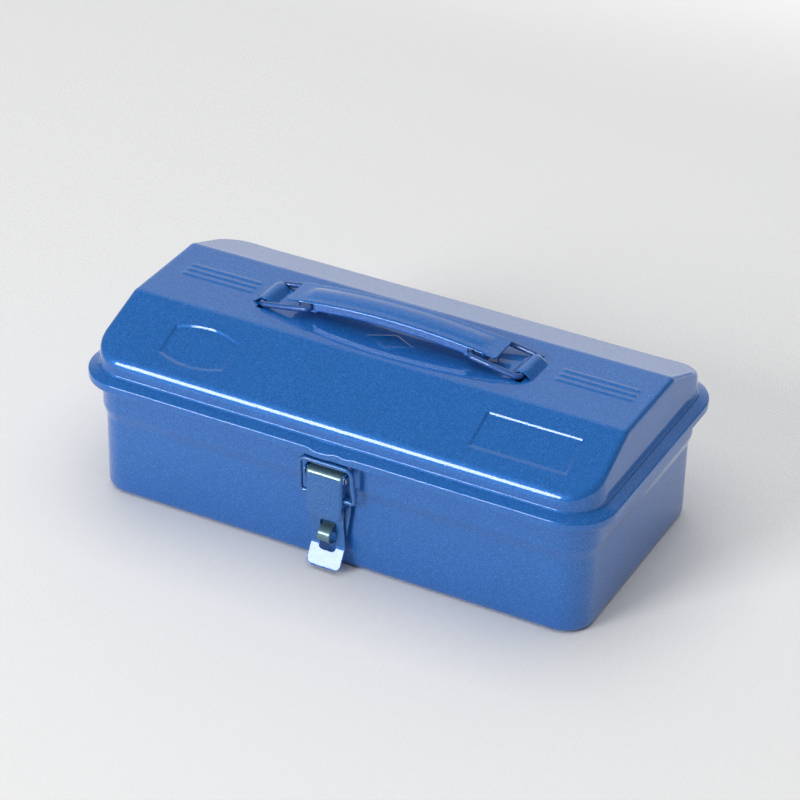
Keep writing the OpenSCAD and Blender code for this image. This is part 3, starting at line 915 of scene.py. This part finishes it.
def make_catch():
    """Hook pressed out of the skirt, with a wavy lower lip behind the latch wire."""
    half = 11.5
    path = rounded_path([(-74.15, 66.3), (-74.15, 63.4), (-73.2, 61.9), (-73.1, 60.2),
                         (-73.45, 59.8)], [0.8, 0.8, 0.3], 4)
    us = lines([-half, half], lambda u: 0.5)

    def point(u, k):
        y, z = path[int(k)]
        low = max(0.0, (61.5 - z) / 1.7)
        wave = math.sin(u * 0.62 + 0.6)
        return (u, y - 0.15 * low * wave, z + 0.35 * low * wave)

    catch = sheet_grid("catch_lip", us, range(len(path)), point, "lid", latch_paint)
    face_away(catch, (0, 0, 62))
    solidify(catch, 0.65)
    bevel(catch, 0.15, 2, 50)
    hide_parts("lid_catch")


# ---------------------------------------------------------------- materials

def node(tree, kind, **values):
    """A new shader node; each value sets a property of that name, or else an input."""
    made = tree.nodes.new(kind)
    for key, value in values.items():
        if hasattr(made, key):
            setattr(made, key, value)
        else:
            made.inputs[key].default_value = value
    return made


def metallic_paint(name, color, flake_scale=3200.0, metallic=0.45, roughness=0.50, coat=1.0,
                   coat_roughness=0.03, peel=0.02):
    """Metallic flake paint under a clear gloss coat, with fine sparkle and orange peel."""
    mat = bpy.data.materials.new(name)
    mat.use_nodes = True
    tree = mat.node_tree
    bsdf = tree.nodes["Principled BSDF"]
    link = tree.links.new
    coord = node(tree, "ShaderNodeTexCoord")
    flakes = node(tree, "ShaderNodeTexVoronoi", Scale=flake_scale)
    link(coord.outputs["Object"], flakes.inputs["Vector"])
    split = node(tree, "ShaderNodeSeparateColor")
    link(flakes.outputs["Color"], split.inputs["Color"])

    tone = node(tree, "ShaderNodeValToRGB")
    dark = [c * 0.75 for c in color]
    light = [min(1.0, c * 1.12 + 0.01) for c in color]
    bright = [min(1.0, c * 1.20 + 0.07) for c in color]
    ramp = tone.color_ramp
    ramp.elements[0].color = (*dark, 1)
    ramp.elements[1].color = (*bright, 1)
    middle = ramp.elements.new(0.45)
    middle.color = (*color, 1)
    upper = ramp.elements.new(0.85)
    upper.color = (*light, 1)
    link(split.outputs["Red"], tone.inputs["Fac"])

    cloud = node(tree, "ShaderNodeTexNoise", Scale=34.0, Detail=4.0)
    link(coord.outputs["Object"], cloud.inputs["Vector"])
    shade = node(tree, "ShaderNodeMapRange")
    shade.inputs["To Min"].default_value = 0.93
    shade.inputs["To Max"].default_value = 1.07
    link(cloud.outputs["Fac"], shade.inputs["Value"])
    mix = node(tree, "ShaderNodeVectorMath", operation="SCALE")
    link(tone.outputs["Color"], mix.inputs[0])
    link(shade.outputs["Result"], mix.inputs["Scale"])
    link(mix.outputs["Vector"], bsdf.inputs["Base Color"])

    rough = node(tree, "ShaderNodeMapRange")
    rough.inputs["To Min"].default_value = roughness - 0.10
    rough.inputs["To Max"].default_value = roughness + 0.12
    link(split.outputs["Green"], rough.inputs["Value"])
    link(rough.outputs["Result"], bsdf.inputs["Roughness"])
    bsdf.inputs["Metallic"].default_value = metallic
    bsdf.inputs["Coat Weight"].default_value = coat
    bsdf.inputs["Coat Roughness"].default_value = coat_roughness

    flake_bump = node(tree, "ShaderNodeBump", Strength=0.22, Distance=0.0001)
    link(split.outputs["Blue"], flake_bump.inputs["Height"])
    link(flake_bump.outputs["Normal"], bsdf.inputs["Normal"])
    skin = node(tree, "ShaderNodeTexNoise", Scale=900.0, Detail=2.0)
    link(coord.outputs["Object"], skin.inputs["Vector"])
    skin_bump = node(tree, "ShaderNodeBump", Strength=peel, Distance=0.0004)
    link(skin.outputs["Fac"], skin_bump.inputs["Height"])
    link(skin_bump.outputs["Normal"], bsdf.inputs["Coat Normal"])
    return mat


def floor_material():
    """Pale woven cloth, with a soft glow far behind the box."""
    mat = bpy.data.materials.new("floor_cloth")
    mat.use_nodes = True
    tree = mat.node_tree
    bsdf = tree.nodes["Principled BSDF"]
    link = tree.links.new
    coord = node(tree, "ShaderNodeTexCoord")
    bsdf.inputs["Base Color"].default_value = (0.80, 0.80, 0.80, 1)
    bsdf.inputs["Roughness"].default_value = 0.85
    wave = node(tree, "ShaderNodeTexWave", Scale=260.0, Distortion=0.3)
    link(coord.outputs["Object"], wave.inputs["Vector"])
    bump = node(tree, "ShaderNodeBump", Strength=0.30, Distance=0.0004)
    link(wave.outputs["Fac"], bump.inputs["Height"])
    link(bump.outputs["Normal"], bsdf.inputs["Normal"])
    place = node(tree, "ShaderNodeSeparateXYZ")
    link(coord.outputs["Object"], place.inputs[0])
    glow = node(tree, "ShaderNodeMapRange", interpolation_type="SMOOTHSTEP")
    glow.inputs["From Min"].default_value = FAR_GLOW_Y[0]
    glow.inputs["From Max"].default_value = FAR_GLOW_Y[1]
    glow.inputs["To Max"].default_value = FAR_GLOW
    link(place.outputs["Y"], glow.inputs["Value"])
    bsdf.inputs["Emission Color"].default_value = (1, 1, 1, 1)
    link(glow.outputs["Result"], bsdf.inputs["Emission Strength"])
    return mat


def steel(name, color, roughness):
    """Bare pin stock with fine drawing marks."""
    mat = bpy.data.materials.new(name)
    mat.use_nodes = True
    tree = mat.node_tree
    bsdf = tree.nodes["Principled BSDF"]
    link = tree.links.new
    coord = node(tree, "ShaderNodeTexCoord")
    marks = node(tree, "ShaderNodeTexNoise", Scale=1400.0, Detail=3.0)
    link(coord.outputs["Object"], marks.inputs["Vector"])
    tone = node(tree, "ShaderNodeMix", data_type="RGBA")
    tone.inputs["A"].default_value = (*[c * 0.7 for c in color], 1)
    tone.inputs["B"].default_value = (*color, 1)
    link(marks.outputs["Fac"], tone.inputs["Factor"])
    link(tone.outputs["Result"], bsdf.inputs["Base Color"])
    bsdf.inputs["Metallic"].default_value = 1.0
    rough = node(tree, "ShaderNodeMapRange")
    rough.inputs["To Min"].default_value = roughness - 0.1
    rough.inputs["To Max"].default_value = roughness + 0.1
    link(marks.outputs["Fac"], rough.inputs["Value"])
    link(rough.outputs["Result"], bsdf.inputs["Roughness"])
    bump = node(tree, "ShaderNodeBump", Strength=0.15, Distance=0.0001)
    link(marks.outputs["Fac"], bump.inputs["Height"])
    link(bump.outputs["Normal"], bsdf.inputs["Normal"])
    return mat


body_paint = metallic_paint("body_paint", (0.003, 0.146, 0.52))
latch_paint = metallic_paint("latch_paint", (0.010, 0.142, 0.45))
wire_paint = metallic_paint("wire_paint", (0.020, 0.110, 0.38))
hinge_paint = metallic_paint("hinge_paint", (0.022, 0.130, 0.48))
teal_lacquer = metallic_paint("teal_lacquer", (0.105, 0.215, 0.260), metallic=0.60, roughness=0.40)
pin_steel = steel("pin_steel", (0.55, 0.58, 0.60), 0.35)

lid = make_lid(body_paint)
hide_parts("lid")
for bridge in make_bridges(body_paint):
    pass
tub = make_tub(body_paint)
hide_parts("tub")
make_handle()
make_base_plate()
make_lever()
make_latch_pin()
make_latch_wire()
make_tab()
make_eye()
make_catch()

NODE_LOOKS = [
    ("hinge_base_leaf_left", hinge_paint, "hinge_paint"),
    ("hinge_base_leaf_right", hinge_paint, "hinge_paint"),
    ("hinge_lid_leaf_left", hinge_paint, "hinge_paint"),
    ("hinge_lid_leaf_right", hinge_paint, "hinge_paint"),
    ("hinge_pin_left", pin_steel, "pin_steel"),
    ("hinge_pin_right", pin_steel, "pin_steel"),
]
for name, material, slot in NODE_LOOKS:
    obj = frame["nodes"][name]
    obj.material_slots[0].material = material


# ---------------------------------------------------------------- floor, light, camera

ROOM = 0.16
BACKDROP = 0.75
BACKDROP_TOWARD = (-0.35, 0.85, 0.40)
BACKDROP_EDGE = (0.70, 0.90)          # cosines from that direction where the room turns bright
FAR_GLOW = 0.50                       # the floor far behind the box, which its rear slope mirrors
FAR_GLOW_Y = (0.45, 0.95)             # metres behind the box over which the glow comes up
FLOOR_SIZE = 12.0

KEY_AT, KEY_AIM, KEY_SIZE, KEY_POWER = (-1.05, -2.35, 1.20), (0, 0, 0.05), (1.0, 0.85), 44
CEILING_AT, CEILING_AIM, CEILING_SIZE, CEILING_POWER = (0, 0, 3.6), (0, 0, 0), (5.0, 5.0), 120

CAMERA_ANGLES = (27.06, 31.95, 1.33)  # azimuth, elevation and roll, in degrees
CAMERA_DISTANCE = 1.49122
CAMERA_RIGHT, CAMERA_UP = 0.00150, 0.01426
CAMERA_AIM = (0, 0, 0.039555)
CAMERA_LENS = 135.51


def make_floor():
    bpy.ops.mesh.primitive_plane_add(size=FLOOR_SIZE)
    floor = bpy.context.object
    floor.name = "floor"
    floor.data.materials.append(floor_material())


def area_light(name, location, target, size, power, mirrored=True):
    """A soft rectangular lamp aimed at a point; one that isn't mirrored leaves no highlight."""
    data = bpy.data.lights.new(name, "AREA")
    data.shape = "RECTANGLE"
    data.size, data.size_y = size
    data.energy = power
    obj = bpy.data.objects.new(name, data)
    bpy.context.scene.collection.objects.link(obj)
    obj.location = location
    aim = Vector(target) - Vector(location)
    obj.rotation_euler = aim.to_track_quat("-Z", "Y").to_euler()
    obj.visible_glossy = mirrored


def make_world():
    """A dim room with a bright backdrop behind the box and to its left."""
    world = bpy.data.worlds.new("studio")
    bpy.context.scene.world = world
    world.use_nodes = True
    tree = world.node_tree
    link = tree.links.new
    coord = node(tree, "ShaderNodeTexCoord")
    toward = node(tree, "ShaderNodeVectorMath", operation="DOT_PRODUCT")
    toward.inputs[1].default_value = BACKDROP_TOWARD
    link(coord.outputs["Generated"], toward.inputs[0])
    glow = node(tree, "ShaderNodeMapRange", interpolation_type="SMOOTHSTEP")
    glow.inputs["From Min"].default_value = BACKDROP_EDGE[0]
    glow.inputs["From Max"].default_value = BACKDROP_EDGE[1]
    glow.inputs["To Min"].default_value = ROOM
    glow.inputs["To Max"].default_value = BACKDROP
    link(toward.outputs["Value"], glow.inputs["Value"])
    background = tree.nodes["Background"]
    background.inputs["Color"].default_value = (0.97, 0.98, 1.0, 1)
    link(glow.outputs["Result"], background.inputs["Strength"])


def make_camera():
    """Camera where the photo was taken from, turned by its small roll."""
    azimuth, elevation, roll = (math.radians(a) for a in CAMERA_ANGLES)
    right = Vector((math.cos(azimuth), math.sin(azimuth), 0))
    back = Vector((math.cos(elevation) * math.sin(azimuth),
                   -math.cos(elevation) * math.cos(azimuth), math.sin(elevation)))
    up = back.cross(right)
    place = back * CAMERA_DISTANCE + right * CAMERA_RIGHT + up * CAMERA_UP + Vector(CAMERA_AIM)
    turned_right = right * math.cos(roll) + up * math.sin(roll)
    turned_up = up * math.cos(roll) - right * math.sin(roll)
    data = bpy.data.cameras.new("camera")
    data.sensor_width = 36.0
    data.lens = CAMERA_LENS
    data.clip_end = 50
    camera = bpy.data.objects.new("camera", data)
    bpy.context.scene.collection.objects.link(camera)
    camera.matrix_world = Matrix((turned_right, turned_up, back)).transposed().to_4x4()
    camera.location = place
    bpy.context.scene.camera = camera


bpy.context.scene.view_settings.view_transform = "Standard"
make_floor()
make_world()
area_light("key", KEY_AT, KEY_AIM, KEY_SIZE, KEY_POWER)
area_light("ceiling", CEILING_AT, CEILING_AIM, CEILING_SIZE, CEILING_POWER, mirrored=False)
make_camera()
